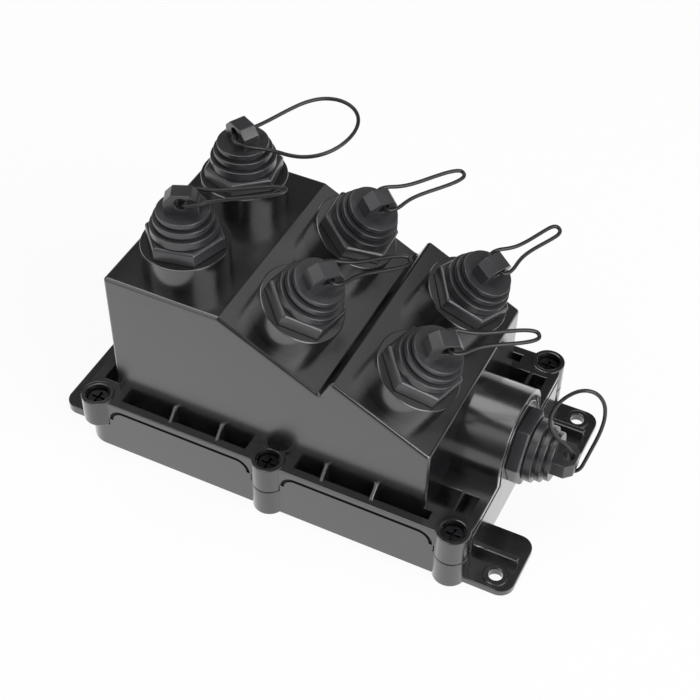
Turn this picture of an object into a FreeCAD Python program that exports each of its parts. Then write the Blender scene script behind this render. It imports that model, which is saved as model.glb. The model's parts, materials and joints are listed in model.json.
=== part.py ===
import FreeCAD
import Part
import math
import os

import Sketcher

# Multiport service terminal: six hardened ports in two columns and three rows, one inlet.
# Millimetres. X runs from the tall end to the inlet end, Y across, Z up.
# The origin is the middle of the base tray's underside.

SIZES = {
    # base tray
    "base_length": 168.0,
    "base_width": 104.0,
    "base_height": 21.4,
    "base_wall": 2.5,
    "base_floor": 3.0,
    "corner_radius": 9.0,
    # two mounting ears at the inlet end
    "ear_length": 18.5,
    "ear_width": 29.0,
    "ear_thickness": 3.0,
    "ear_corner": 6.0,
    "ear_inset": 1.0,
    "ear_rib_width": 2.4,
    "ear_rib_height": 4.0,
    "ear_hole_radius": 2.75,
    "ear_hole_reach": 10.5,
    "ear_hole_side": 8.0,
    "ear_ring_radius": 5.0,
    "ear_ring_height": 0.8,
    # one wide mounting tab at the tall end
    "tab_length": 17.0,
    "tab_inset": 8.3,
    "tab_thickness": 4.0,
    "tab_hole_reach": 6.5,
    "tab_hole_inset": 9.7,
    # seam between base and cover
    "gasket_thickness": 1.5,
    "nest_clearance": 0.4,
    # screws that hold the cover
    "screw_inset_x": 6.5,
    "screw_inset_y": 3.0,
    "lug_radius": 6.7,
    "lug_drop": 9.4,
    "lug_rise": 0.6,
    "lug_clearance": 0.3,
    "shoulder_radius": 6.2,
    "pillar_wall": 2.2,
    "well_radius": 4.8,
    "well_depth": 5.0,
    "screw_radius": 2.0,
    "screw_hole_clearance": 0.2,
    "screw_head_radius": 4.2,
    "screw_head_height": 2.6,
    "screw_length": 14.0,
    "screw_slot_length": 5.8,
    "screw_slot_width": 0.9,
    # cover shell
    "body_left": 70.7,
    "flange_side": 8.0,
    "cover_wall": 3.0,
    "deck_height": 86.6,
    "deck_length": 48.8,
    "slope_angle": 27.0,
    "slope_length": 46.5,
    "step_rise": 9.7,
    "tail_length": 45.0,
    "edge_round": 1.5,
    "flange_height": 2.5,
    "trough_depth": 6.0,
    "trough_floor": 1.8,
    "trough_wall": 1.2,
    "rib_thickness": 1.6,
    "rib_near": 22.8,
    "rib_pitch": 21.0,
    "rib_climb": 5.6,
    "end_rib_shift": 1.5,
    "end_bay_inner": 30.0,
    "end_bay_width": 10.0,
    "left_rib_place": 14.0,
    # ports on the cover
    "port_side": 21.5,
    "deck_port_place": 24.2,
    "slope_port_place": 21.5,
    "tail_port_place": 23.0,
    "port_boss_radius": 17.0,
    "port_boss_height": 11.0,
    # inlet on the base tray
    "inlet_height": 28.0,
    "tongue_radius": 18.0,
    "arch_wall": 2.8,
    # hardened adapter
    "adapter_radius": 10.0,
    "adapter_clearance": 0.2,
    "adapter_flange_radius": 14.5,
    "adapter_flange_height": 3.0,
    "adapter_seal_radius": 14.0,
    "adapter_seal_height": 1.5,
    "neck_radius": 9.0,
    "neck_height": 4.5,
    "bore_radius": 6.0,
    "bore_depth": 6.0,
    "web_thickness": 3.0,
    "socket_radius": 6.2,
    "socket_depth": 15.0,
    "socket_wall": 1.8,
    "sleeve_radius": 1.6,
    "sleeve_bore": 1.25,
    "sleeve_length": 11.0,
    "sleeve_clearance": 0.05,
    # lock nut
    "nut_width": 27.0,
    "nut_height": 5.5,
    "nut_chamfer": 0.8,
    "nut_clearance": 0.1,
    # screw cap
    "cap_clearance": 0.3,
    "cap_skirt_radius": 12.8,
    "cap_skirt_height": 3.4,
    "cap_ring_radius": 11.4,
    "cap_ring_height": 2.4,
    "cap_crown_radius": 10.0,
    "cap_crown_height": 2.0,
    "cap_groove_height": 0.9,
    "cap_groove_depth": 1.0,
    "cap_seal_height": 1.5,
    "head_width": 13.0,
    "head_thickness": 6.8,
    "head_height": 8.0,
    "head_round": 3.0,
    "head_hole_radius": 2.4,
    "head_hole_height": 4.4,
    # cord loops
    "cord_radius": 0.75,
    # inside
    "connector_width": 9.0,
    "connector_depth": 7.4,
    "connector_length": 24.0,
    "boot_radius": 2.4,
    "boot_tip_radius": 1.7,
    "boot_length": 12.0,
    "post_radius": 4.0,
    "post_height": 5.0,
    "tray_length": 92.0,
    "tray_width": 62.0,
    "tray_floor": 1.6,
    "tray_rim": 5.0,
    "tray_rim_wall": 1.4,
    "tray_corner": 8.0,
    "tray_post_inset": 9.0,
    "tray_screw_radius": 1.25,
    "tray_screw_head_radius": 2.6,
    "tray_screw_head_height": 1.6,
    "tray_screw_length": 5.0,
    "splitter_length": 60.0,
    "splitter_width": 7.0,
    "splitter_height": 4.0,
}

X_AXIS = FreeCAD.Vector(1, 0, 0)
Y_AXIS = FreeCAD.Vector(0, 1, 0)
Z_AXIS = FreeCAD.Vector(0, 0, 1)
ORIGIN = FreeCAD.Vector(0, 0, 0)


class Size:
    """A length or an angle that keeps both its number and its sheet expression."""

    def __init__(self, value, text):
        self.value = value
        self.text = text

    def __add__(self, other):
        other = as_size(other)
        return Size(self.value + other.value, f"({self.text} + {other.text})")

    def __sub__(self, other):
        other = as_size(other)
        return Size(self.value - other.value, f"({self.text} - {other.text})")

    def __mul__(self, other):
        other = as_size(other)
        return Size(self.value * other.value, f"({self.text} * {other.text})")

    def __truediv__(self, other):
        other = as_size(other)
        return Size(self.value / other.value, f"({self.text} / {other.text})")

    def __neg__(self):
        return Size(-self.value, f"(-1 * {self.text})")


def as_size(number):
    return number if isinstance(number, Size) else Size(float(number), repr(float(number)))


def sine(angle):
    return Size(math.sin(math.radians(angle.value)), f"sin({angle.text})")


def cosine(angle):
    return Size(math.cos(math.radians(angle.value)), f"cos({angle.text})")


def tangent(angle):
    return Size(math.tan(math.radians(angle.value)), f"tan({angle.text})")


class Sheet:
    """The driving dimensions, one aliased cell each, read back as sizes."""

    def __init__(self, document):
        cells = document.addObject("Spreadsheet::Sheet", "dims")
        for row, (name, value) in enumerate(SIZES.items(), start=1):
            cells.set(f"A{row}", name)
            cells.set(f"B{row}", str(value))
            cells.setAlias(f"B{row}", name)
            setattr(self, name, Size(value, f"dims.{name}"))


doc = FreeCAD.newDocument("terminal")
d = Sheet(doc)
doc.recompute()
ZERO = as_size(0)
HALF_LENGTH = d.base_length / 2
HALF_WIDTH = d.base_width / 2
BODY_WIDTH = d.base_width - d.flange_side * 2
SUB_PARTS = []


# Small helpers that make bound objects

def bind(obj, name, size):
    """Ties one property to a size."""
    size = as_size(size)
    obj.setExpression(name, size.text)


def place(obj, x, y, z):
    """Puts an object at a point whose coordinates are sizes."""
    for name, size in zip("xyz", (x, y, z)):
        bind(obj, f"Placement.Base.{name}", size)
    return obj


def box(name, low, high):
    """A block between two corners."""
    obj = doc.addObject("Part::Box", name)
    for side, a, b in zip(("Length", "Width", "Height"), low, high):
        bind(obj, side, as_size(b) - a)
    return place(obj, *low)


def cylinder(name, radius, x, y, low, high):
    """An upright cylinder between two levels."""
    obj = doc.addObject("Part::Cylinder", name)
    bind(obj, "Radius", radius)
    bind(obj, "Height", as_size(high) - low)
    return place(obj, x, y, low)


def fuse(name, parts):
    obj = doc.addObject("Part::MultiFuse", name)
    obj.Shapes = parts
    obj.Refine = True
    return obj


def cut(name, base, tools):
    obj = doc.addObject("Part::Cut", name)
    obj.Base = base
    obj.Tool = tools[0] if len(tools) == 1 else fuse(f"{name}_tools", tools)
    obj.Refine = True
    return obj


def sub_part(obj, label):
    """Names a finished piece; the label is also its file name."""
    obj.Label = label
    SUB_PARTS.append(obj)
    return obj


def group(label, parts):
    """Several equal loose pieces in one node."""
    obj = doc.addObject("Part::Compound", f"{label}_group")
    obj.Links = parts
    return sub_part(obj, label)


def outline(sketch, points):
    """Draws a closed outline of straight lines through points whose coordinates are sizes."""
    corners = [FreeCAD.Vector(as_size(a).value, as_size(b).value, 0) for a, b in points]
    first = sketch.GeometryCount
    count = len(corners)
    for i in range(count):
        sketch.addGeometry(Part.LineSegment(corners[i], corners[(i + 1) % count]), False)
    for i in range(count):
        following = first + (i + 1) % count
        sketch.addConstraint(Sketcher.Constraint("Coincident", first + i, 2, following, 1))
    for i, point in enumerate(points):
        for kind, size in zip(("DistanceX", "DistanceY"), point):
            size = as_size(size)
            number = sketch.addConstraint(Sketcher.Constraint(kind, -1, 1, first + i, 1, size.value))
            sketch.setExpression(f"Constraints[{number}]", size.text)


def circle(sketch, x, y, radius):
    """Draws a circle whose centre and radius are sizes."""
    x, y, radius = as_size(x), as_size(y), as_size(radius)
    centre = FreeCAD.Vector(x.value, y.value, 0)
    index = sketch.addGeometry(Part.Circle(centre, Z_AXIS, radius.value), False)
    for kind, size in (("DistanceX", x), ("DistanceY", y)):
        number = sketch.addConstraint(Sketcher.Constraint(kind, -1, 1, index, 3, size.value))
        sketch.setExpression(f"Constraints[{number}]", size.text)
    number = sketch.addConstraint(Sketcher.Constraint("Radius", index, radius.value))
    sketch.setExpression(f"Constraints[{number}]", radius.text)


def rounded_rectangle(sketch, length, width, radius):
    """Draws a rectangle round the origin with four round corners."""
    half_x, half_y, r = length.value / 2, width.value / 2, radius.value
    corners = ((half_x, half_y, 0), (-half_x, half_y, 90), (-half_x, -half_y, 180), (half_x, -half_y, 270))
    ends = []
    for x, y, turn in corners:
        centre = FreeCAD.Vector(x - math.copysign(r, x), y - math.copysign(r, y), 0)
        start, stop = math.radians(turn), math.radians(turn + 90)
        arc = Part.ArcOfCircle(Part.Circle(centre, Z_AXIS, r), start, stop)
        sketch.addGeometry(arc, False)
        ends.append((arc.StartPoint, arc.EndPoint))
    for i in range(4):
        sketch.addGeometry(Part.LineSegment(ends[i][1], ends[(i + 1) % 4][0]), False)
    for i in range(4):
        sketch.addConstraint(Sketcher.Constraint("Tangent", i, 2, 4 + i, 1))
        sketch.addConstraint(Sketcher.Constraint("Tangent", 4 + i, 2, (i + 1) % 4, 1))
    for i in (1, 2, 3):
        sketch.addConstraint(Sketcher.Constraint("Equal", 0, i))
    sketch.addConstraint(Sketcher.Constraint("Horizontal", 4))
    sketch.addConstraint(Sketcher.Constraint("Vertical", 5))
    bound = (
        (Sketcher.Constraint("Radius", 0, r), radius),
        (Sketcher.Constraint("DistanceY", -1, 1, 4, 1, half_y), width / 2),
        (Sketcher.Constraint("DistanceX", -1, 1, 5, 1, -half_x), -length / 2),
        (Sketcher.Constraint("DistanceY", -1, 1, 6, 1, -half_y), -width / 2),
        (Sketcher.Constraint("DistanceX", -1, 1, 7, 1, half_x), length / 2),
    )
    for constraint, size in bound:
        number = sketch.addConstraint(constraint)
        sketch.setExpression(f"Constraints[{number}]", size.text)


def rounded_plate(name, length, width, radius, low, high):
    """A flat plate with round corners between two levels."""
    sketch = doc.addObject("Sketcher::SketchObject", f"{name}_outline")
    rounded_rectangle(sketch, length, width, radius)
    return extrude(name, place(sketch, ZERO, ZERO, low), as_size(high) - low)


def extrude(name, sketch, length, both_ways=False):
    obj = doc.addObject("Part::Extrusion", name)
    obj.Base = sketch
    obj.DirMode = "Normal"
    obj.Solid = True
    obj.Symmetric = both_ways
    bind(obj, "LengthFwd", length)
    return obj


def side_profile(name, points, width):
    """A prism with its outline in the X Z plane and its width centred on Y."""
    sketch = doc.addObject("Sketcher::SketchObject", f"{name}_outline")
    sketch.Placement = FreeCAD.Placement(ORIGIN, FreeCAD.Rotation(X_AXIS, 90))
    outline(sketch, points)
    return extrude(name, sketch, width, both_ways=True)


def cross_profile(name, points, middle, width):
    """A prism with its outline in the Y Z plane and its width centred on one X."""
    sketch = doc.addObject("Sketcher::SketchObject", f"{name}_outline")
    upright = FreeCAD.Rotation(Y_AXIS, 90).multiply(FreeCAD.Rotation(Z_AXIS, 90))
    sketch.Placement = FreeCAD.Placement(ORIGIN, upright)
    outline(sketch, points)
    place(sketch, middle, ZERO, ZERO)
    return extrude(name, sketch, width, both_ways=True)


# Port frames: the foot of each port's axis on its face, and how far the axis leans towards +X

def port_frames():
    """The foot, lean, cap turn and cord route of every port."""
    s, c = sine(d.slope_angle), cosine(d.slope_angle)
    knee_x = d.deck_length - d.body_left
    step_x = knee_x + d.slope_length * c + d.step_rise * s
    step_z = d.deck_height - d.slope_length * s + d.step_rise * c
    rows = (
        ("upper", d.deck_port_place - d.body_left, d.deck_height, ZERO),
        ("middle", knee_x + d.slope_port_place * c, d.deck_height - d.slope_port_place * s, d.slope_angle),
        ("lower", step_x + d.tail_port_place * c, step_z - d.tail_port_place * s, d.slope_angle),
    )
    frames = {}
    for row, x, z, lean in rows:
        for column, side in (("front", -1), ("back", 1)):
            frames[f"{row}_{column}"] = (x, (BODY_WIDTH / 2 - d.port_side) * side, z, lean)
    return frames


PORTS = port_frames()
INLET = "inlet"
# the inlet's frame has its foot one boss height inside the end wall, where a port's face would be
SEATS = dict(PORTS)
SEATS[INLET] = (HALF_LENGTH - d.port_boss_height, ZERO, d.inlet_height, as_size(90))

# how far each cap was turned when it was done up
CAP_TURNS = {
    "upper_front": 24, "upper_back": -28, "middle_front": 55, "middle_back": 59,
    "lower_front": 45, "lower_back": 68, INLET: 90,
}


# Cord routes, measured from the middle of the head's hole

def both_strands(strand):
    """A whole flat loop from one of its strands; the other strand mirrors it."""
    return tuple(strand) + tuple((out, -across) for out, across in reversed(strand))


def lifted(loop, lift):
    """A flat loop tipped up from the head: each pair, how far out and how far along the hole, becomes
    three distances, along the head, along its hole and up the port's axis."""
    tip = math.radians(lift)
    return tuple((out * math.cos(tip), across, out * math.sin(tip)) for out, across in loop)


NARROW_LOOP = both_strands((
    (0.6, 2.2), (0.9, 4.0), (2.8, 5.0), (6.2, 4.7), (9.8, 3.5), (14.0, 2.7), (19.6, 2.5), (26.2, 2.6),
    (32.0, 2.5), (35.8, 2.0), (37.9, 1.05),
))
SHORT_LOOP = both_strands((
    (0.6, 2.2), (0.9, 4.0), (2.8, 5.0), (6.2, 4.6), (9.6, 3.2), (13.4, 2.2), (18.4, 1.9), (23.6, 2.0),
    (28.0, 2.1), (31.4, 2.0), (33.4, 1.05),
))
ROUND_LOOP = (
    (1.3, 0.2), (1.0, 5.0), (-2.2, 9.6), (-6.4, 14.0), (-9.4, 20.4), (-9.4, 27.8), (-6.2, 34.8), (-0.4, 39.6),
    (5.6, 38.4), (9.6, 32.6), (10.8, 25.4), (10.4, 18.2), (9.2, 11.6), (7.8, 5.6), (6.6, 0.2), (5.4, -4.6),
    (3.3, -6.3), (1.3, -5.1), (1.2, -2.7),
)
WIDE_LOOP = (
    (0.6, 1.8, 0.0), (0.4, 6.8, -0.3), (-0.3, 13.6, -0.4), (-0.9, 21.6, 0.0), (-0.9, 29.6, 0.4),
    (0.6, 36.6, 0.2), (4.8, 41.8, -0.2), (10.8, 43.8, -0.8), (17.0, 42.2, -1.2), (22.0, 37.8, -1.6),
    (25.2, 31.6, -2.2), (26.2, 24.8, -3.2), (24.8, 18.4, -4.2), (21.4, 13.4, -5.0), (17.4, 9.6, -5.0),
    (13.6, 6.2, -4.0), (10.8, 2.2, -2.6), (8.8, -2.0, -1.4), (6.2, -5.2, -0.6), (3.0, -6.0, -0.2),
    (1.0, -4.4, 0.0), (0.6, -2.2, 0.0),
)
CORD_ROUTES = {
    "upper_front": lifted(NARROW_LOOP, 8), "upper_back": WIDE_LOOP, "middle_front": lifted(NARROW_LOOP, 0),
    "middle_back": lifted(NARROW_LOOP, 12), "lower_front": lifted(NARROW_LOOP, 7),
    "lower_back": lifted(SHORT_LOOP, 12), INLET: lifted(ROUND_LOOP, 63),
}


def seat(obj, port, turn=0, height=ZERO):
    """Sets an object made round its own Z axis onto a port's axis, at a height over its face."""
    x, y, z, lean = SEATS[port]
    tip = f"rotation(vector(0; 1; 0); {lean.text})"
    spin = f"rotation(vector(0; 0; 1); {as_size(turn).text})"
    obj.setExpression("Placement.Rotation", f"{tip} * {spin}")
    return place(obj, x + height * sine(lean), y, z + height * cosine(lean))


def port_cylinder(name, port, radius, low, high):
    """A cylinder on a port's axis between two distances from its face."""
    obj = doc.addObject("Part::Cylinder", name)
    bind(obj, "Radius", radius)
    bind(obj, "Height", as_size(high) - low)
    return seat(obj, port, height=as_size(low))


# Levels that base, gasket and cover share

SEAM_LOW = d.base_height
SEAM_HIGH = d.base_height + d.gasket_thickness
LIP_TOP = SEAM_HIGH + d.flange_height
LUG_TOP = LIP_TOP + d.lug_rise
LUG_FOOT = SEAM_HIGH - d.lug_drop
PILLAR_RADIUS = d.lug_radius + d.lug_clearance + d.pillar_wall


SCREW_X = HALF_LENGTH - d.screw_inset_x
SCREW_Y = HALF_WIDTH - d.screw_inset_y


def screw_places(stations=(-1, 0, 1)):
    """The six screws, three on each long side: tall end, middle and inlet end."""
    return [(SCREW_X * i, SCREW_Y * j) for j in (-1, 1) for i in stations]


def at_screws(name, radius, low, high, stations=(-1, 0, 1)):
    places = screw_places(stations)
    return [cylinder(f"{name}_{i}", radius, x, y, low, high) for i, (x, y) in enumerate(places)]


def shoulders(name, arc, low_y, high_y, top):
    """Blocks in the corners between the seam and the lugs, each hollowed by an arc that starts level
    with the seam and ends upright beside its lug."""
    reach = d.shoulder_radius
    foot = SEAM_HIGH - reach
    blocks, arcs = [], []
    for side in (-1, 1):
        near_y, far_y = (low_y, high_y) if side > 0 else (-high_y, -low_y)
        for station, way in ((-1, 1), (0, -1), (0, 1), (1, -1)):
            tag = f"{name}_{len(blocks)}"
            lug_x = SCREW_X * station
            start, stop = lug_x + d.lug_radius * (way * 0.5), lug_x + (d.lug_radius + reach) * way
            low_x, high_x = (start, stop) if way > 0 else (stop, start)
            blocks.append(box(f"{tag}_block", (low_x, near_y, foot), (high_x, far_y, top)))
            rod = doc.addObject("Part::Cylinder", f"{tag}_arc")
            rod.Placement = FreeCAD.Placement(ORIGIN, FreeCAD.Rotation(X_AXIS, -90))
            bind(rod, "Radius", arc)
            bind(rod, "Height", far_y - near_y)
            arcs.append(place(rod, stop, near_y, foot))
    return cut(name, fuse(f"{name}_blocks", blocks), arcs)


# Base tray

def ear(name, side):
    """One ear at the inlet end: plate, stiffening rib, ring round the hole and the hole itself."""
    middle = (HALF_WIDTH - d.ear_inset - d.ear_width / 2) * side
    sketch = doc.addObject("Sketcher::SketchObject", f"{name}_outline")
    rounded_rectangle(sketch, (d.ear_length + d.base_wall) * 2, d.ear_width, d.ear_corner)
    place(sketch, HALF_LENGTH - d.base_wall, middle, ZERO)
    plate = extrude(f"{name}_plate", sketch, d.ear_thickness)
    rib = box(
        f"{name}_rib",
        (HALF_LENGTH, middle - d.ear_rib_width / 2, d.ear_thickness / 2),
        (
            HALF_LENGTH + d.ear_length - d.ear_rib_width, middle + d.ear_rib_width / 2,
            d.ear_thickness + d.ear_rib_height,
        ),
    )
    hole_x = HALF_LENGTH + d.ear_hole_reach
    hole_y = middle + d.ear_hole_side * side
    ring_top = d.ear_thickness + d.ear_ring_height
    ring = cylinder(f"{name}_ring", d.ear_ring_radius, hole_x, hole_y, ZERO, ring_top)
    hole = cylinder(f"{name}_hole", d.ear_hole_radius, hole_x, hole_y, -d.ear_thickness, ring_top + 1)
    return [plate, rib, ring], hole


def end_tab():
    """The wide plate at the tall end and its two holes."""
    width = d.base_width - d.tab_inset * 2
    sketch = doc.addObject("Sketcher::SketchObject", "tab_outline")
    rounded_rectangle(sketch, (d.tab_length + d.base_wall) * 2, width, d.ear_corner)
    place(sketch, d.base_wall - HALF_LENGTH, ZERO, ZERO)
    plate = extrude("tab_plate", sketch, d.tab_thickness)
    hole_x = -HALF_LENGTH - d.tab_hole_reach
    holes = [
        cylinder(
            f"tab_hole_{side + 1}", d.ear_hole_radius, hole_x, (width / 2 - d.tab_hole_inset) * side,
            -d.tab_thickness, d.tab_thickness * 2,
        )
        for side in (-1, 1)
    ]
    return plate, holes


def tray_post_places():
    half_x = d.tray_length / 2 - d.tray_post_inset
    half_y = d.tray_width / 2 - d.tray_post_inset
    return [(half_x * i, half_y * j) for i in (-1, 1) for j in (-1, 1)]


def base_tray():
    """Moulded tray: walls, ears, screw pillars, inlet tongue and posts for the fibre tray."""
    block = rounded_plate("base_block", d.base_length, d.base_width, d.corner_radius, ZERO, SEAM_LOW)
    bulges = at_screws("base_bulge", d.lug_radius, ZERO, LUG_FOOT, stations=(0, 1))
    inside = rounded_plate(
        "base_inside", d.base_length - d.base_wall * 2, d.base_width - d.base_wall * 2,
        d.corner_radius - d.base_wall, d.base_floor, SEAM_LOW + 1,
    )
    ears = [ear(f"ear_{side + 1}", side) for side in (-1, 1)]
    ear_solids = [piece for solids, hole in ears for piece in solids]
    tab, tab_holes = end_tab()
    walls = cut("base_walls", fuse("base_outer", [block, tab] + bulges + ear_solids), [inside])
    envelope = rounded_plate("base_envelope", d.base_length, d.base_width, d.corner_radius, ZERO, SEAM_LOW)
    pillars = doc.addObject("Part::MultiCommon", "base_pillars")
    pillars.Shapes = [fuse("pillar_rods", at_screws("pillar", PILLAR_RADIUS, ZERO, SEAM_LOW)), envelope]
    tongue_foot = box(
        "tongue_foot", (HALF_LENGTH - d.base_wall, -d.tongue_radius, ZERO),
        (HALF_LENGTH, d.tongue_radius, d.inlet_height),
    )
    tongue = port_cylinder("tongue", INLET, d.tongue_radius, -d.cover_wall, d.port_boss_height)
    posts = [
        cylinder(f"post_{i}", d.post_radius, x, y, d.base_floor / 2, d.base_floor + d.post_height)
        for i, (x, y) in enumerate(tray_post_places())
    ]
    whole = fuse("base_whole", [walls, pillars, tongue_foot, tongue] + posts)
    lug_pockets = at_screws(
        "lug_pocket", d.lug_radius + d.lug_clearance, LUG_FOOT - d.lug_clearance, SEAM_LOW + 1,
    )
    notches = shoulders(
        "base_notches", d.shoulder_radius - d.gasket_thickness, HALF_WIDTH - d.base_wall,
        HALF_WIDTH + d.lug_radius, SEAM_HIGH,
    )
    pilot_low = LUG_TOP - d.well_depth - d.screw_length - d.screw_radius / 2
    pilots = at_screws("screw_pilot", d.screw_radius, pilot_low, LUG_FOOT)
    inlet_hole = port_cylinder(
        "inlet_hole", INLET, d.adapter_radius + d.adapter_clearance, -d.cover_wall - 1,
        d.port_boss_height + 1,
    )
    tray_pilots = [
        cylinder(f"tray_pilot_{i}", d.tray_screw_radius, x, y, d.base_floor, d.base_floor + d.post_height + 1)
        for i, (x, y) in enumerate(tray_post_places())
    ]
    holes = [hole for solids, hole in ears] + tab_holes
    tools = lug_pockets + [notches] + pilots + [inlet_hole] + tray_pilots + holes
    return sub_part(cut("base_tray", whole, tools), "base_tray")


# Gasket in the seam, with an arch over the inlet tongue

def gasket():
    plate = rounded_plate("gasket_plate", d.base_length, d.base_width, d.corner_radius, SEAM_LOW, SEAM_HIGH)
    inside = rounded_plate(
        "gasket_inside", d.base_length - d.base_wall * 2, d.base_width - d.base_wall * 2,
        d.corner_radius - d.base_wall, SEAM_LOW - 1, SEAM_HIGH + 1,
    )
    ring = cut("gasket_ring", plate, [inside])
    envelope = rounded_plate(
        "gasket_envelope", d.base_length, d.base_width, d.corner_radius, SEAM_LOW, SEAM_HIGH,
    )
    collars = doc.addObject("Part::MultiCommon", "gasket_collars")
    collars.Shapes = [fuse("collar_rods", at_screws("collar", PILLAR_RADIUS, SEAM_LOW, SEAM_HIGH)), envelope]
    arch_radius = d.tongue_radius + d.gasket_thickness
    arch = port_cylinder(
        "gasket_arch", INLET, arch_radius, d.port_boss_height - d.base_wall, d.port_boss_height,
    )
    arch_foot = box(
        "gasket_arch_foot", (HALF_LENGTH - d.base_wall, -arch_radius, SEAM_LOW),
        (HALF_LENGTH, arch_radius, d.inlet_height),
    )
    below = box(
        "gasket_below", (HALF_LENGTH - d.base_wall - 1, -arch_radius * 2, -SEAM_LOW),
        (HALF_LENGTH + 1, arch_radius * 2, SEAM_LOW),
    )
    bow = cut("gasket_bow", fuse("gasket_bow_whole", [arch, arch_foot]), [below])
    tongue = port_cylinder("gasket_tongue", INLET, d.tongue_radius, -d.cover_wall, d.port_boss_height + 1)
    tongue_foot = box(
        "gasket_tongue_foot", (HALF_LENGTH - d.base_wall - 1, -d.tongue_radius, ZERO),
        (HALF_LENGTH + 1, d.tongue_radius, d.inlet_height),
    )
    lugs = at_screws("gasket_lug", d.lug_radius + d.lug_clearance, LUG_FOOT, SEAM_HIGH + 1)
    wall_y = HALF_WIDTH - d.base_wall
    bends = cut(
        "gasket_bends",
        shoulders("bend_outer", d.shoulder_radius - d.gasket_thickness, wall_y, HALF_WIDTH, SEAM_HIGH),
        [shoulders("bend_inner", d.shoulder_radius, wall_y - 1, HALF_WIDTH + 1, SEAM_HIGH + 1)],
    )
    shoulder_room = shoulders("shoulder_room", d.shoulder_radius, wall_y, HALF_WIDTH + 1, SEAM_HIGH)
    flat = cut("gasket_flat", fuse("gasket_flat_whole", [ring, collars]), [shoulder_room])
    whole = fuse("gasket_whole", [flat, bow, bends])
    return sub_part(cut("gasket", whole, [tongue, tongue_foot] + lugs), "gasket")


# Cover

def body_points(inset, foot):
    """The stepped side outline of the cover, moved inwards by an inset."""
    s, c = sine(d.slope_angle), cosine(d.slope_angle)
    knee_x = d.deck_length - d.body_left
    dip_x = knee_x + d.slope_length * c
    dip_z = d.deck_height - d.slope_length * s
    step_x = dip_x + d.step_rise * s
    step_z = dip_z + d.step_rise * c
    end_x = step_x + d.tail_length * c
    end_z = step_z - d.tail_length * s
    along_x, along_z = inset * (c - s), -inset * (s + c)
    return (
        (inset - d.body_left, foot),
        (inset - d.body_left, d.deck_height - inset),
        (knee_x - inset * tangent(d.slope_angle / 2), d.deck_height - inset),
        (dip_x + along_x, dip_z + along_z),
        (step_x + along_x, step_z + along_z),
        (end_x - inset, end_z - inset * c + inset * (as_size(1) - s) * tangent(d.slope_angle)),
        (end_x - inset, foot),
    )


def rounded_body():
    """The stepped block with its upper edges and corners rounded."""
    foot = SEAM_HIGH - d.trough_depth
    block = side_profile("cover_block", body_points(ZERO, foot), BODY_WIDTH)
    doc.recompute()
    rounded = doc.addObject("Part::Fillet", "cover_rounded")
    rounded.Base = block
    low = foot.value + d.edge_round.value
    picked = [
        i for i, edge in enumerate(block.Shape.Edges, start=1)
        if max(v.Z for v in edge.Vertexes) > low
    ]
    rounded.Edges = [(i, d.edge_round.value, d.edge_round.value) for i in picked]
    return rounded


def gusset_places():
    """The X of the ribs along each long side, two on each side of the middle screw."""
    return [(d.rib_near + d.rib_pitch * step) * sign for sign in (-1, 1) for step in (0, 1)]


def side_pockets(side):
    """The pockets between body and lip along one long side, parted by the ribs."""
    bay_floor = SEAM_HIGH - d.trough_depth + d.trough_floor
    inner = BODY_WIDTH / 2
    outer = HALF_WIDTH - d.base_wall - d.nest_clearance - d.trough_wall
    low_y, high_y = (inner, outer) if side > 0 else (-outer, -inner)
    half_rib = d.rib_thickness / 2
    clear = PILLAR_RADIUS + d.nest_clearance + d.trough_wall
    last = SCREW_X - clear
    stops = [clear, d.rib_near, d.rib_near + d.rib_pitch, last]
    pockets = []
    for end in (-1, 1):
        for i in range(3):
            near = stops[i] + (half_rib if i else ZERO)
            far = stops[i + 1] - (half_rib if i < 2 else ZERO)
            low_x, high_x = (near, far) if end > 0 else (-far, -near)
            pockets.append(box(
                f"bay_{side + 1}_{end + 1}_{i}", (low_x, low_y, bay_floor), (high_x, high_y, LIP_TOP + 1),
            ))
    return pockets


def end_pockets():
    """The small pockets at the inlet end and the longer ones at the tall end."""
    bay_floor = SEAM_HIGH - d.trough_depth + d.trough_floor
    half_rib = d.rib_thickness / 2
    lip = HALF_LENGTH - d.base_wall - d.nest_clearance - d.trough_wall
    wall_x = body_points(ZERO, ZERO)[-1][0]
    rib_x = (wall_x + lip) / 2 + d.end_rib_shift
    spans = ((wall_x, rib_x - half_rib), (rib_x + half_rib, lip))
    bay_outer = d.end_bay_inner + d.end_bay_width
    pockets = []
    for side in (-1, 1):
        low_y, high_y = sorted((d.end_bay_inner * side, bay_outer * side), key=lambda v: v.value)
        for i, (near, far) in enumerate(spans):
            low, high = (near, low_y, bay_floor), (far, high_y, LIP_TOP + 1)
            pockets.append(box(f"end_bay_{side + 1}_{i}", low, high))
    edges = (-bay_outer, -d.left_rib_place, d.left_rib_place, bay_outer)
    for i in range(3):
        low_y = edges[i] + (half_rib if i else ZERO)
        high_y = edges[i + 1] - (half_rib if i < 2 else ZERO)
        pockets.append(box(f"left_bay_{i}", (-lip, low_y, bay_floor), (-d.body_left, high_y, LIP_TOP + 1)))
    return pockets


def gussets():
    """Thin ribs that climb from the lip to the body wall."""
    foot = SEAM_HIGH - d.trough_depth
    wall = BODY_WIDTH / 2 - d.cover_wall / 2
    lip = HALF_WIDTH - d.base_wall
    ribs = []
    for side in (-1, 1):
        points = (
            (wall * side, foot + d.trough_floor / 2), (lip * side, SEAM_HIGH + d.flange_height / 2),
            (lip * side, LIP_TOP), (wall * side, LIP_TOP + d.rib_climb),
        )
        for i, x in enumerate(gusset_places()):
            ribs.append(cross_profile(f"gusset_{side + 1}_{i}", points, x, d.rib_thickness))
    return ribs


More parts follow.
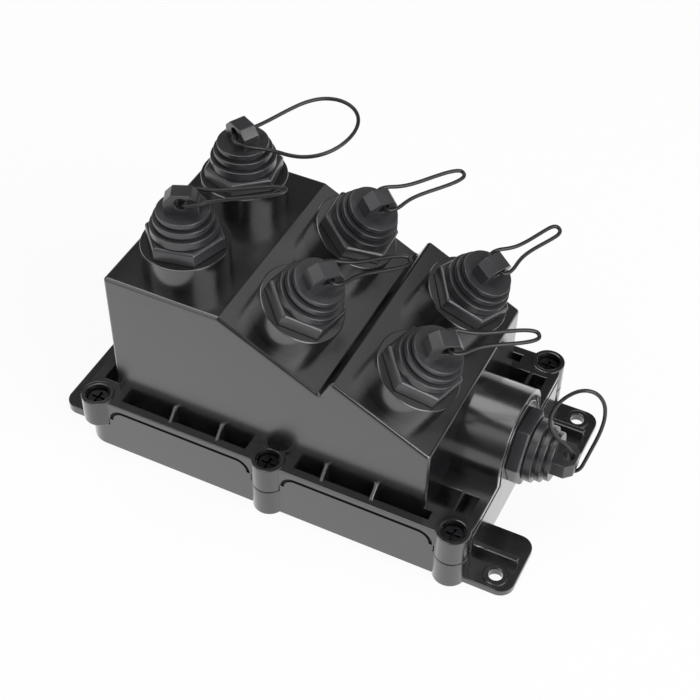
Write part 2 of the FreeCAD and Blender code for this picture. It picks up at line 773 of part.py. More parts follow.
def tunnel(name, radius, start, stop, low):
    """A round-topped prism along X round the inlet's axis."""
    rod = doc.addObject("Part::Cylinder", f"{name}_rod")
    bind(rod, "Radius", radius)
    bind(rod, "Height", as_size(stop) - start)
    rod.Placement = FreeCAD.Placement(ORIGIN, FreeCAD.Rotation(Y_AXIS, 90))
    place(rod, start, ZERO, d.inlet_height)
    legs = box(f"{name}_legs", (start, -radius, low), (stop, radius, d.inlet_height))
    return [rod, legs]


def cover():
    """The stepped shell with its flange, pockets, lugs, inlet arch and port bosses."""
    trough_low = SEAM_HIGH - d.trough_depth
    flange = rounded_plate("flange", d.base_length, d.base_width, d.corner_radius, SEAM_HIGH, LIP_TOP)
    gap = (d.base_wall + d.nest_clearance) * 2
    trough = rounded_plate(
        "trough", d.base_length - gap, d.base_width - gap, d.corner_radius - d.base_wall, trough_low,
        SEAM_HIGH,
    )
    arch_inner = d.tongue_radius + d.gasket_thickness
    arch_outer = arch_inner + d.arch_wall
    end_wall = body_points(ZERO, ZERO)[-1][0]
    arch = tunnel("arch", arch_outer, end_wall - d.cover_wall, HALF_LENGTH, SEAM_HIGH)
    arch_below = box(
        "arch_below", (end_wall - d.cover_wall - 1, -arch_outer * 2, -SEAM_HIGH),
        (HALF_LENGTH + 1, arch_outer * 2, SEAM_HIGH),
    )
    arch_top = cut("arch_top", fuse("arch_whole", arch), [arch_below])
    bosses = [
        port_cylinder(f"boss_{port}", port, d.port_boss_radius, -d.cover_wall / 2, d.port_boss_height)
        for port in PORTS
    ]
    pockets = side_pockets(-1) + side_pockets(1) + end_pockets()
    rim = cut("cover_rim", fuse("cover_rim_whole", [flange, trough]), pockets)
    outer = fuse("cover_outer", [rim, rounded_body(), arch_top] + gussets() + bosses)
    hollow = side_profile("cover_hollow", body_points(d.cover_wall, ZERO), BODY_WIDTH - d.cover_wall * 2)
    mouth = tunnel("arch_mouth", arch_inner, end_wall - d.cover_wall * 2, HALF_LENGTH + 1, ZERO)
    clearances = at_screws("pillar_clearance", PILLAR_RADIUS + d.nest_clearance, ZERO, SEAM_HIGH)
    shell = cut("cover_shell", outer, [hollow] + mouth + clearances)
    lugs = at_screws("lug", d.lug_radius, LUG_FOOT, LUG_TOP)
    lug_shoulders = shoulders(
        "lug_shoulders", d.shoulder_radius, HALF_WIDTH - d.base_wall + d.nest_clearance, HALF_WIDTH, LIP_TOP,
    )
    lugged = fuse("cover_lugged", [shell, lug_shoulders] + lugs)
    lugged.Refine = False
    wells = at_screws("screw_well", d.well_radius, LUG_TOP - d.well_depth, LUG_TOP + 1)
    shanks = at_screws("screw_way", d.screw_radius + d.screw_hole_clearance, LUG_FOOT - 1, LUG_TOP)
    port_holes = [
        port_cylinder(
            f"port_hole_{port}", port, d.adapter_radius + d.adapter_clearance, -d.cover_wall - 1,
            d.port_boss_height + 1,
        )
        for port in PORTS
    ]
    return sub_part(cut("cover", lugged, wells + shanks + port_holes), "cover")


def cover_screws():
    """Six pan-head screws at the bottom of their wells."""
    head_low = LUG_TOP - d.well_depth
    screws = []
    for i, (x, y) in enumerate(screw_places()):
        shank = cylinder(f"shank_{i}", d.screw_radius, x, y, head_low - d.screw_length, head_low)
        head = cylinder(f"head_{i}", d.screw_head_radius, x, y, head_low, head_low + d.screw_head_height)
        slots = []
        long, thin = d.screw_slot_length / 2, d.screw_slot_width / 2
        for half_x, half_y in ((long, thin), (thin, long)):
            slots.append(box(
                f"slot_{i}_{len(slots)}", (x - half_x, y - half_y, head_low + d.screw_head_height / 2),
                (x + half_x, y + half_y, head_low + d.screw_head_height + 1),
            ))
        screws.append(cut(f"screw_{i}", fuse(f"screw_{i}_whole", [shank, head]), slots))
    return group("cover_screws", screws)


# Turned pieces, each a body with a half outline spun round Z

def origin_plane(body, role):
    return next(feature for feature in body.Origin.OriginFeatures if feature.Role == role)


def body_sketch(body, name, role):
    sketch = body.newObject("Sketcher::SketchObject", name)
    sketch.AttachmentSupport = [(origin_plane(body, role), "")]
    sketch.MapMode = "FlatFace"
    return sketch


def turned(name, points):
    """A body spun from a half outline of radius and height pairs."""
    body = doc.addObject("PartDesign::Body", name)
    sketch = body_sketch(body, f"{name}_profile", "XZ_Plane")
    outline(sketch, points)
    spin = body.newObject("PartDesign::Revolution", f"{name}_turned")
    spin.Profile = sketch
    spin.ReferenceAxis = (sketch, ["V_Axis"])
    spin.Angle = 360
    sketch.Visibility = False
    return body


def ring_points(inner, outer, low, high):
    return ((inner, low), (outer, low), (outer, high), (inner, high))


NUT_TOP = d.port_boss_height + d.nut_height
NECK_TOP = NUT_TOP + d.neck_height
FLANGE_TOP = -d.cover_wall - d.adapter_seal_height
WEB_TOP = -d.bore_depth
WEB_LOW = WEB_TOP - d.web_thickness


def adapter(port):
    """The hardened adapter: open neck outside, flange inside, a web for the sleeve, an inner socket."""
    flange_low = FLANGE_TOP - d.adapter_flange_height
    socket_low = WEB_LOW - d.socket_depth
    sleeve_hole = d.sleeve_radius + d.sleeve_clearance
    points = (
        (sleeve_hole, WEB_LOW), (d.socket_radius, WEB_LOW), (d.socket_radius, socket_low),
        (d.socket_radius + d.socket_wall, socket_low), (d.socket_radius + d.socket_wall, flange_low),
        (d.adapter_flange_radius, flange_low), (d.adapter_flange_radius, FLANGE_TOP),
        (d.adapter_radius, FLANGE_TOP), (d.adapter_radius, NUT_TOP), (d.neck_radius, NUT_TOP),
        (d.neck_radius, NECK_TOP), (d.bore_radius, NECK_TOP), (d.bore_radius, WEB_TOP),
        (sleeve_hole, WEB_TOP),
    )
    return sub_part(seat(turned(f"adapter_body_{port}", points), port), f"adapter_{port}")


def adapter_seal(port):
    inner = d.adapter_radius + d.adapter_clearance
    points = ring_points(inner, d.adapter_seal_radius, FLANGE_TOP, -d.cover_wall)
    return sub_part(seat(turned(f"adapter_seal_body_{port}", points), port), f"adapter_seal_{port}")


def sleeve(port):
    """The ceramic alignment sleeve held by the adapter's web."""
    middle = (WEB_TOP + WEB_LOW) / 2
    points = ring_points(
        d.sleeve_bore, d.sleeve_radius, middle - d.sleeve_length / 2, middle + d.sleeve_length / 2,
    )
    return seat(turned(f"sleeve_{port}", points), port)


def lock_nut(port):
    """A hexagonal nut on the adapter's thread, its top edges chamfered."""
    body = doc.addObject("PartDesign::Body", f"lock_nut_body_{port}")
    sketch = body_sketch(body, f"hexagon_{port}", "XY_Plane")
    corner = d.nut_width / (cosine(as_size(30)) * 2)
    angles = [math.radians(angle) for angle in range(0, 360, 60)]
    outline(sketch, [(corner * math.cos(angle), corner * math.sin(angle)) for angle in angles])
    circle(sketch, ZERO, ZERO, d.adapter_radius + d.nut_clearance)
    pad = body.newObject("PartDesign::Pad", f"nut_pad_{port}")
    pad.Profile = sketch
    bind(pad, "Length", d.nut_height)
    doc.recompute()
    top = max(range(len(pad.Shape.Faces)), key=lambda i: pad.Shape.Faces[i].CenterOfMass.z)
    chamfer = body.newObject("PartDesign::Chamfer", f"nut_chamfer_{port}")
    chamfer.Base = (pad, [f"Face{top + 1}"])
    bind(chamfer, "Size", d.nut_chamfer)
    return sub_part(seat(body, port, NUT_TURNS[port], d.port_boss_height), f"lock_nut_{port}")


# where each nut's flats ended up when it was tightened
NUT_TURNS = {
    "upper_front": 12, "upper_back": 40, "middle_front": 20, "middle_back": 33,
    "lower_front": 16, "lower_back": 8, INLET: 25,
}

CAP_LOW = NUT_TOP + d.cap_clearance
CAP_SEAL_LOW = NECK_TOP + d.cap_clearance
CAP_ROOF = CAP_SEAL_LOW + d.cap_seal_height
CAP_BORE = d.neck_radius + d.cap_clearance
SKIRT_TOP = CAP_LOW + d.cap_skirt_height
RING_LOW = SKIRT_TOP + d.cap_groove_height
RING_TOP = RING_LOW + d.cap_ring_height
CROWN_LOW = RING_TOP + d.cap_groove_height
CROWN_TOP = CROWN_LOW + d.cap_crown_height
HEAD_TOP = CROWN_TOP + d.head_height
HOLE_LEVEL = CROWN_TOP + d.head_hole_height


def cap(port):
    """The screw cap: grooved rings, a flat head across its top and the hole for the cord."""
    name = f"cap_body_{port}"
    ring_core = d.cap_ring_radius - d.cap_groove_depth
    crown_core = d.cap_crown_radius - d.cap_groove_depth
    body = turned(name, (
        (ZERO, CAP_ROOF), (CAP_BORE, CAP_ROOF), (CAP_BORE, CAP_LOW), (d.cap_skirt_radius, CAP_LOW),
        (d.cap_skirt_radius, SKIRT_TOP), (ring_core, SKIRT_TOP), (ring_core, RING_LOW),
        (d.cap_ring_radius, RING_LOW), (d.cap_ring_radius, RING_TOP), (crown_core, RING_TOP),
        (crown_core, CROWN_LOW), (d.cap_crown_radius, CROWN_LOW), (d.cap_crown_radius, CROWN_TOP),
        (ZERO, CROWN_TOP),
    ))
    head_sketch = body_sketch(body, f"head_outline_{port}", "XZ_Plane")
    half, shoulder = d.head_width / 2, HEAD_TOP - d.head_round
    root = CROWN_TOP - d.cap_crown_height / 2
    outline(head_sketch, (
        (-half, root), (half, root), (half, shoulder), (half - d.head_round, HEAD_TOP),
        (d.head_round - half, HEAD_TOP), (-half, shoulder),
    ))
    head = body.newObject("PartDesign::Pad", f"head_{port}")
    head.Profile = head_sketch
    head.SideType = "Symmetric"
    bind(head, "Length", d.head_thickness)
    hole_sketch = body_sketch(body, f"head_hole_outline_{port}", "XZ_Plane")
    circle(hole_sketch, ZERO, HOLE_LEVEL, d.head_hole_radius)
    hole = body.newObject("PartDesign::Pocket", f"head_hole_{port}")
    hole.Profile = hole_sketch
    hole.SideType = "Symmetric"
    hole.Type = "ThroughAll"
    return sub_part(seat(body, port, CAP_TURNS[port]), f"cap_{port}")


def cap_seal(port):
    """The flat washer inside the cap that meets the adapter's rim."""
    points = ring_points(d.bore_radius, d.neck_radius, CAP_SEAL_LOW, CAP_ROOF)
    return sub_part(seat(turned(f"cap_seal_body_{port}", points), port), f"cap_seal_{port}")


# Cord loops through the cap heads

def cord_points(port):
    """The loop's route on its cap, as the cap was turned."""
    tilt = FreeCAD.Rotation(Y_AXIS, SEATS[port][3].value)
    frame = FreeCAD.Placement(
        FreeCAD.Vector(*(size.value for size in SEATS[port][:3])),
        tilt.multiply(FreeCAD.Rotation(Z_AXIS, CAP_TURNS[port])),
    )
    return [
        frame.multVec(FreeCAD.Vector(along, across, HOLE_LEVEL.value + rise))
        for along, across, rise in CORD_ROUTES[port]
    ]


def rounded_path(points):
    """Straight runs joined by tangent arcs as large as the runs allow; also gives the radii."""
    edges, radii = [], []
    last = points[0]
    for before, corner, after in zip(points, points[1:], points[2:]):
        back, ahead = before - corner, after - corner
        turn = math.pi - back.getAngle(ahead)
        reach = 0.45 * min(back.Length, ahead.Length)
        radii.append(reach / math.tan(turn / 2))
        back.normalize()
        ahead.normalize()
        start, stop = corner + back * reach, corner + ahead * reach
        inward = back + ahead
        inward.normalize()
        middle = corner + inward * (radii[-1] / math.cos(turn / 2) - radii[-1])
        edges.append(Part.LineSegment(last, start).toShape())
        edges.append(Part.Arc(start, middle, stop).toShape())
        last = stop
    edges.append(Part.LineSegment(last, points[-1]).toShape())
    return Part.Wire(edges), radii


def tether(port):
    """The thin cord looped through a cap's head, as a plain tube."""
    points = cord_points(port)
    path, radii = rounded_path(points)
    section = Part.Wire(Part.Circle(points[0], points[1] - points[0], d.cord_radius.value).toShape())
    obj = doc.addObject("Part::Feature", f"tether_tube_{port}")
    obj.Shape = path.makePipeShell([section], True, False)
    share = obj.Shape.Volume / (math.pi * d.cord_radius.value ** 2 * path.Length)
    print(
        f"tether_{port}: length {path.Length:.1f}, volume {share:.3f} of section by length, "
        f"radii {min(radii):.1f} to {max(radii):.1f}"
    )
    return sub_part(obj, f"tether_{port}")


# Inside the housing

def inner_connector(port):
    """The connector plugged into an adapter from inside, with its boot."""
    high = WEB_LOW - d.sleeve_length / 2
    low = high - d.connector_length
    body = doc.addObject("PartDesign::Body", f"connector_{port}")
    sketch = body_sketch(body, f"connector_outline_{port}", "XZ_Plane")
    half = d.connector_width / 2
    outline(sketch, ((-half, low), (half, low), (half, high), (-half, high)))
    block = body.newObject("PartDesign::Pad", f"connector_block_{port}")
    block.Profile = sketch
    block.SideType = "Symmetric"
    bind(block, "Length", d.connector_depth)
    boot_sketch = body_sketch(body, f"boot_outline_{port}", "XZ_Plane")
    boot_low = low - d.boot_length
    outline(boot_sketch, (
        (ZERO, boot_low), (d.boot_tip_radius, boot_low), (d.boot_radius, low + 1), (ZERO, low + 1),
    ))
    boot = body.newObject("PartDesign::Revolution", f"boot_{port}")
    boot.Profile = boot_sketch
    boot.ReferenceAxis = (boot_sketch, ["V_Axis"])
    boot.Angle = 360
    return seat(body, port)


def fibre_tray():
    """A shallow tray that holds the spare fibre, standing on the base's posts."""
    low = d.base_floor + d.post_height
    floor_top = low + d.tray_floor
    outside = rounded_plate("tray_outside", d.tray_length, d.tray_width, d.tray_corner, low, low + d.tray_rim)
    inside = rounded_plate(
        "tray_inside", d.tray_length - d.tray_rim_wall * 2, d.tray_width - d.tray_rim_wall * 2,
        d.tray_corner - d.tray_rim_wall, floor_top, low + d.tray_rim + 1,
    )
    holes = [
        cylinder(f"tray_hole_{i}", d.tray_screw_radius + d.screw_hole_clearance, x, y, low - 1, floor_top + 1)
        for i, (x, y) in enumerate(tray_post_places())
    ]
    return sub_part(cut("fibre_tray", outside, [inside] + holes), "fibre_tray")


def tray_screws():
    top = d.base_floor + d.post_height + d.tray_floor
    screws = []
    for i, (x, y) in enumerate(tray_post_places()):
        shank = cylinder(f"tray_shank_{i}", d.tray_screw_radius, x, y, top - d.tray_screw_length, top)
        head = cylinder(f"tray_head_{i}", d.tray_screw_head_radius, x, y, top, top + d.tray_screw_head_height)
        screws.append(fuse(f"tray_screw_{i}", [shank, head]))
    return group("tray_screws", screws)


def splitter_module():
    low = d.base_floor + d.post_height + d.tray_floor
    half_x, half_y = d.splitter_length / 2, d.splitter_width / 2
    block = box("splitter_box", (-half_x, -half_y, low), (half_x, half_y, low + d.splitter_height))
    return sub_part(block, "splitter_module")


# The whole terminal

base_tray()
gasket()
cover()
cover_screws()
fibre_tray()
tray_screws()
splitter_module()
for seat_name in SEATS:
    adapter(seat_name)
    adapter_seal(seat_name)
    lock_nut(seat_name)
    cap(seat_name)
    cap_seal(seat_name)
    tether(seat_name)
group("alignment_sleeves", [sleeve(seat_name) for seat_name in SEATS])
group("inner_connectors", [inner_connector(seat_name) for seat_name in SEATS])
doc.recompute()

failed = [obj.Name for obj in doc.Objects if "Invalid" in obj.State or "Error" in obj.State]
if failed:
    raise RuntimeError(f"these objects failed: {failed}")
for part in SUB_PARTS:
    if part.Shape.isNull() or not part.Shape.isValid() or not part.Shape.Solids:
        raise RuntimeError(f"{part.Label} has no valid solid")
os.makedirs("parts", exist_ok=True)
for part in SUB_PARTS:
    part.Shape.exportStep(f"parts/{part.Label}.step")
print(f"{len(SUB_PARTS)} sub-parts, {sum(len(part.Shape.Solids) for part in SUB_PARTS)} solids")
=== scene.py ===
# %% [markdown]
# # A multiport service terminal, dressed for its picture
# The terminal is a black moulded box that hangs on a pole or lies in a handhole. A stepped cover carries
# six capped fibre ports in two columns, and a seventh port, the inlet, leaves the low end of the base.
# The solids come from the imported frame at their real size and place, so this lesson only adds what the
# eye needs: the camera, finishes, rounded edges, a dark seam, threads, the cord loops, a floor and light.

# %% Load the frame and keep its box
import json
import math

import bmesh
import bpy
from mathutils import Matrix, Vector


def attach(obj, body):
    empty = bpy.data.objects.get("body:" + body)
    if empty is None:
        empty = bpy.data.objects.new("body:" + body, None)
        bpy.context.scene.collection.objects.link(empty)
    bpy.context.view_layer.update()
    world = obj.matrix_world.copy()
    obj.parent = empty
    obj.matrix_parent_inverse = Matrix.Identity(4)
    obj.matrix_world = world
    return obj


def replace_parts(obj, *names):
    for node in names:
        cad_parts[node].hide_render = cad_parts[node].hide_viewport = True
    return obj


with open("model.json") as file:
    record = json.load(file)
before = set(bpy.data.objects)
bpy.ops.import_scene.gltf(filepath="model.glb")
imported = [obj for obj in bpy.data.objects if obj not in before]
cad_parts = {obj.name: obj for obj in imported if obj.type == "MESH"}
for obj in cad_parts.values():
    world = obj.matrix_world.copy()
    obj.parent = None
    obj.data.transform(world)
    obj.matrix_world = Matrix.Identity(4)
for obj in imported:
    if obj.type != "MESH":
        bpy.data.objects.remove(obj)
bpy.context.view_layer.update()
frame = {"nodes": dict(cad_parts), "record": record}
MM = 0.001
BODY_OF = {node: body for body, nodes in frame["record"]["behaviour"]["bodies"].items() for node in nodes}
PORTS = [name[len("tether_"):] for name in frame["nodes"] if name.startswith("tether_")]
print(len(frame["nodes"]), "nodes,", len(PORTS), "ports")

# %% [markdown]
# ## Camera
# The picture was taken from above the front right corner. A camera fitted to the screw bosses, the deck
# edges and the port axes gave its direction, distance and focal length; the shift puts the object where
# the picture has it in the frame.

# %% Camera
CAMERA_AZIMUTH = math.radians(26.74)
CAMERA_ELEVATION = math.radians(47.22)
CAMERA_DISTANCE = 608.4 * MM
NEAR_CLIP = 10.0 * MM
SENSOR_WIDTH = 36.0
TARGET = Vector((0.0, 0.0, 7.75 * MM))
FRAME_PIXELS = 700.0
FOCAL_PIXELS = 1469.9
TARGET_PIXEL = (325.4, 407.4)

camera_data = bpy.data.cameras.new("camera")
camera_data.sensor_width = SENSOR_WIDTH
camera_data.lens = SENSOR_WIDTH * FOCAL_PIXELS / FRAME_PIXELS
camera_data.shift_x = (FRAME_PIXELS / 2 - TARGET_PIXEL[0]) / FRAME_PIXELS
camera_data.shift_y = (TARGET_PIXEL[1] - FRAME_PIXELS / 2) / FRAME_PIXELS
camera_data.clip_start = NEAR_CLIP
camera = bpy.data.objects.new("camera", camera_data)
bpy.context.scene.collection.objects.link(camera)
back = Vector((
    math.sin(CAMERA_AZIMUTH) * math.cos(CAMERA_ELEVATION),
    -math.cos(CAMERA_AZIMUTH) * math.cos(CAMERA_ELEVATION),
    math.sin(CAMERA_ELEVATION),
))
camera.location = TARGET + back * CAMERA_DISTANCE
camera.rotation_euler = back.to_track_quat("Z", "Y").to_euler()
bpy.context.scene.camera = camera
bpy.context.scene.view_settings.view_transform = "Standard"
print("camera at", [round(value, 3) for value in camera.location])

# %% [markdown]
# ## Nodes and colours
# Every finish below is a small tree of shader nodes. One function adds a node with its settings and
# links, and another turns a colour as a paint chart gives it into the linear numbers a shader needs.

# %% Helpers for materials


def linear(code):
    """A hex colour as linear red, green and blue, with full alpha."""
    parts = [int(code[i:i + 2], 16) / 255 for i in (1, 3, 5)]
    return [p / 12.92 if p <= 0.04045 else ((p + 0.055) / 1.055) ** 2.4 for p in parts] + [1.0]


def add_node(tree, kind, settings=None, **inputs):
    """Adds a node, sets it up and links or fills its inputs, whose spaces are written as underscores."""
    made = tree.nodes.new(kind)
    for name, value in (settings or {}).items():
        setattr(made, name, value)
    for name, value in inputs.items():
        key = name.replace("_", " ")
        socket = made.inputs[key] if key in made.inputs else made.inputs[int(key.split()[-1])]
        if isinstance(value, bpy.types.NodeSocket):
            tree.links.new(value, socket)
        else:
            socket.default_value = value
    return made


def new_material(name):
    """A material and its tree, still empty."""
    material = bpy.data.materials.new(name)
    material.use_nodes = True
    material.node_tree.nodes.clear()
    return material, material.node_tree


# %% [markdown]
# ## An uneven skin
# One even colour looks like paint. A real skin is never quite even, so each finish has slow patches of
# tone, a roughness that wanders with them, and a grain. The grain of a real mould is finer than a pixel of
# the picture, so it is drawn coarser here, to show at all. Sizes are given in millimetres.

# %% A skin with patches and grain
PATCH_SIZE = 14.0 * MM
PATCH_DETAIL = 3.0
PATCH_ROUGHNESS = 0.55
PATCH_LOW = 0.3
PATCH_HIGH = 0.7
GLOSS_WANDER = 0.15
GRAIN_DETAIL = 2.0
GRAIN_STRENGTH = 0.2


def skin(name, dark, pale, roughness, grain_mm, depth_mm, **more):
    """A finish with patches, wandering roughness and grain; more inputs go straight to its shader."""
    material, tree = new_material(name)
    place = add_node(tree, "ShaderNodeTexCoord").outputs["Object"]
    patches = add_node(
        tree, "ShaderNodeTexNoise", Vector=place, Scale=1.0 / PATCH_SIZE, Detail=PATCH_DETAIL,
        Roughness=PATCH_ROUGHNESS,
    ).outputs["Fac"]
    tone = add_node(tree, "ShaderNodeValToRGB", Fac=patches)
    for stop, position, colour in zip(tone.color_ramp.elements, (PATCH_LOW, PATCH_HIGH), (dark, pale)):
        stop.position = position
        stop.color = linear(colour)
    gloss = add_node(
        tree, "ShaderNodeMapRange", Value=patches, From_Min=PATCH_LOW, From_Max=PATCH_HIGH,
        To_Min=roughness * (1.0 - GLOSS_WANDER), To_Max=roughness * (1.0 + GLOSS_WANDER),
    ).outputs["Result"]
    grain = add_node(
        tree, "ShaderNodeTexNoise", Vector=place, Scale=1.0 / (grain_mm * MM), Detail=GRAIN_DETAIL,
    ).outputs["Fac"]
    bump = add_node(
        tree, "ShaderNodeBump", Strength=GRAIN_STRENGTH, Distance=depth_mm * MM, Height=grain,
    ).outputs["Normal"]
    surface = add_node(
        tree, "ShaderNodeBsdfPrincipled", Base_Color=tone.outputs["Color"], Roughness=gloss, Normal=bump,
        **more,
    )
    add_node(tree, "ShaderNodeOutputMaterial", Surface=surface.outputs["BSDF"])
    return material


# %% [markdown]
# ## Finishes
# The housing is taken as an injection-moulded black polycarbonate blend with a semi-gloss skin: top faces
# go almost black and the walls mirror the pale floor. Nuts, caps and adapters are taken as glass-filled
# nylon, a little duller. Gasket and washers are matt rubber, the cords drawn nylon, the screws blackened
# steel. The colours, roughness and coats started from such materials and were matched to the picture.

# %% Finishes
# deep black skin: the second gloss layer is the polished mould's, so walls mirror the pale floor
housing_plastic = skin(
    "semi_gloss_black_polycarbonate", "#141416", "#1b1b1d", roughness=0.24, grain_mm=0.9, depth_mm=0.006,
    IOR=1.58, Coat_Weight=1.0, Coat_IOR=1.58, Coat_Roughness=0.18,
)
# glass-filled nylon: a shade greyer and duller than the housing
nylon = skin(
    "satin_black_nylon", "#28282a", "#333336", roughness=0.34, grain_mm=0.6, depth_mm=0.012,
    IOR=1.56, Coat_Weight=0.4, Coat_Roughness=0.25,
)
# rubber: no mirror at all, only a dull edge
rubber = skin(
    "matt_black_rubber", "#0a0a0b", "#0f0f10", roughness=0.75, grain_mm=0.5, depth_mm=0.03, IOR=1.5,
)
# drawn nylon: a thin bright line along each cord
cord_nylon = skin(
    "drawn_black_nylon_cord", "#111112", "#1a1a1b", roughness=0.38, grain_mm=0.4, depth_mm=0.01, IOR=1.55,
)
# blackened steel: the only dark metal, at the bottom of the screw wells
black_steel = skin(
    "blackened_steel", "#2b2b2e", "#3a3a3d", roughness=0.38, grain_mm=0.3, depth_mm=0.01, Metallic=1.0,
)
# tray plastic: pale and dull, so that fibres would show on it
tray_plastic = skin(
    "pale_grey_tray_plastic", "#c9c9c6", "#d6d6d2", roughness=0.5, grain_mm=0.8, depth_mm=0.02, IOR=1.49,
)
# plain steel: a soft grey sheen on the splitter's tube
bare_steel = skin(
    "plain_steel_tube", "#9a9a9c", "#b0b0b2", roughness=0.34, grain_mm=0.3, depth_mm=0.01, Metallic=1.0,
)
# ground ceramic: the whitest and smoothest piece, inside the adapters
ceramic = skin(
    "ground_zirconia", "#e9e8e3", "#f2f1ec", roughness=0.25, grain_mm=0.3, depth_mm=0.01, IOR=2.1,
)
# connector plastic: an even green with a satin skin
green_plastic = skin(
    "green_connector_plastic", "#1c7a3c", "#248a48", roughness=0.4, grain_mm=0.6, depth_mm=0.02, IOR=1.5,
)
SLOT_FINISH = {
    "black_housing": housing_plastic, "black_fitting": nylon, "black_rubber": rubber,
    "black_cord": cord_nylon, "dark_steel": black_steel, "grey_plastic": tray_plastic,
    "steel": bare_steel, "white_ceramic": ceramic, "green_plastic": green_plastic,
}
SLOT_OF = {entry["node"]: entry["material_slot"] for entry in frame["record"]["subparts"]}


def dress(piece, node):
    """Gives a piece the finish of a node's slot."""
    piece.data.materials.clear()
    piece.data.materials.append(SLOT_FINISH[SLOT_OF[node]])


for node, obj in frame["nodes"].items():
    dress(obj, node)
print(len(SLOT_FINISH), "finishes")

# %% [markdown]
# ## Rounded edges
# No moulded edge is sharp, and on black plastic the eye reads the shape from the bright line along each
# rounded one. A copy of each outer node has its doubled points merged, and then its sharp outer edges are
# bevelled. The copy takes the node's place. The operator is used and not the modifier, because some edges
# are left out: along the seam of the long sides they stay crisp, since beside the lugs the cover runs out
# into tips that are thinner than the bevel.

# %% Rounded edges
# radii in millimetres
EDGE_RADIUS = {"base_tray": 0.4, "cover": 0.4, "cover_screws": 0.2}
EDGE_RADIUS.update({f"lock_nut_{port}": 0.4 for port in PORTS})
EDGE_RADIUS.update({f"cap_{port}": 0.3 for port in PORTS})
EDGE_RADIUS.update({f"adapter_{port}": 0.2 for port in PORTS})
EDGE_SEGMENTS = 2
MERGE_GAP = 0.003 * MM
SHARP_ANGLE = math.radians(30.0)
SMOOTH_ANGLE = math.radians(20.0)
SEAM_PIECES = ("base_tray", "cover")
SEAM_SIDE = 48.0 * MM
SEAM_FOOT = 13.7 * MM
SEAM_TOP = 23.0 * MM


def finished(mesh, name, node):
    """Turns a mesh into a piece that rides with a node's body and has its finish."""
    mesh.normal_update()
    for face in mesh.faces:
        face.smooth = True
    for edge in mesh.edges:
        edge.smooth = edge.calc_face_angle(0.0) < SMOOTH_ANGLE
    data = bpy.data.meshes.new(name)
    mesh.to_mesh(data)
    mesh.free()
    piece = bpy.data.objects.new(name, data)
    bpy.context.scene.collection.objects.link(piece)
    even = piece.modifiers.new("even_shading", "WEIGHTED_NORMAL")
    even.keep_sharp = True
    dress(piece, node)
    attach(piece, BODY_OF[node])
    return piece


def along_seam(edge):
    """Whether an edge lies at a long side's seam, between the lugs' feet and the cover's lower edge."""
    middle = (edge.verts[0].co + edge.verts[1].co) / 2
    return abs(middle.y) > SEAM_SIDE and SEAM_FOOT < middle.z < SEAM_TOP


def rounded_copy(node, radius):
    """A copy of a node with its sharp outer edges rounded, in the node's place."""
    mesh = bmesh.new()
    mesh.from_mesh(frame["nodes"][node].data)
    bmesh.ops.remove_doubles(mesh, verts=mesh.verts, dist=MERGE_GAP)
    edges = [edge for edge in mesh.edges if edge.is_convex and edge.calc_face_angle(0.0) > SHARP_ANGLE]
    if node in SEAM_PIECES:
        edges = [edge for edge in edges if not along_seam(edge)]
    bmesh.ops.bevel(
        mesh, geom=edges, offset=radius * MM, offset_type="OFFSET", affect="EDGES", segments=EDGE_SEGMENTS,
        profile=0.5, material=-1,
    )
    bmesh.ops.dissolve_degenerate(mesh, dist=MERGE_GAP, edges=mesh.edges)
    piece = finished(mesh, f"rounded_{node}", node)
    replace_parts(piece, node)
    return piece


faces = sum(len(rounded_copy(node, radius).data.polygons) for node, radius in EDGE_RADIUS.items())
print(len(EDGE_RADIUS), "nodes rounded,", faces, "faces")

# %% [markdown]
# ## Seam
# In the picture the seam between cover and tray is a black line. A dark stripe could be painted there, but
# moving the gasket's outer sides in, a little behind the walls, lets the seam go dark by its own shade.

# %% Seam
SEAM_INSET = 0.7 * MM
OUTER_REACH = 0.05 * MM
X_AND_Y = (Vector((1.0, 0.0, 0.0)), Vector((0.0, 1.0, 0.0)))
gasket = bmesh.new()
gasket.from_mesh(frame["nodes"]["gasket"].data)
bmesh.ops.remove_doubles(gasket, verts=gasket.verts, dist=MERGE_GAP)
for out in X_AND_Y + tuple(-way for way in X_AND_Y):
    limit = max(vert.co.dot(out) for vert in gasket.verts) - OUTER_REACH
    outer = [vert for vert in gasket.verts if vert.co.dot(out) > limit]
    bmesh.ops.translate(gasket, vec=-out * SEAM_INSET, verts=outer)
    print("gasket side moved in:", len(outer), "points")
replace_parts(finished(gasket, "inset_gasket", "gasket"), "gasket")

# %% [markdown]
# ## Threads
# With a cap off, its neck shows the thread that the cap screws on. The solid neck is smooth; a ridge wound
# round it by a spin that climbs as it turns gives the thread, just inside the cap's own bore.

# %% Threads
# sizes in millimetres
NECK_RADIUS = 9.0
THREAD_RADIUS = 9.25
THREAD_PITCH = 1.2
THREAD_TURNS = 2.5
THREAD_START = -3.9
TURN_STEPS = 48
RIDGE_SINK = 0.1
RIDGE_FOOT = 0.42
RIDGE_CREST = 0.12
RIDGE = (
    (NECK_RADIUS - RIDGE_SINK, -RIDGE_FOOT), (THREAD_RADIUS, -RIDGE_CREST), (THREAD_RADIUS, RIDGE_CREST),
    (NECK_RADIUS - RIDGE_SINK, RIDGE_FOOT),
)
PORT_MOUNTS = {
    mount["name"][len("port_"):]: mount for mount in frame["record"]["mounts"] if mount["kind"] == "other"
}


def port_turn(port):
    """The turn that leans a port's own upright onto its axis."""
    axis = Vector(PORT_MOUNTS[port]["axis"])
    return Matrix.Rotation(math.atan2(axis.x, axis.z), 3, "Y")


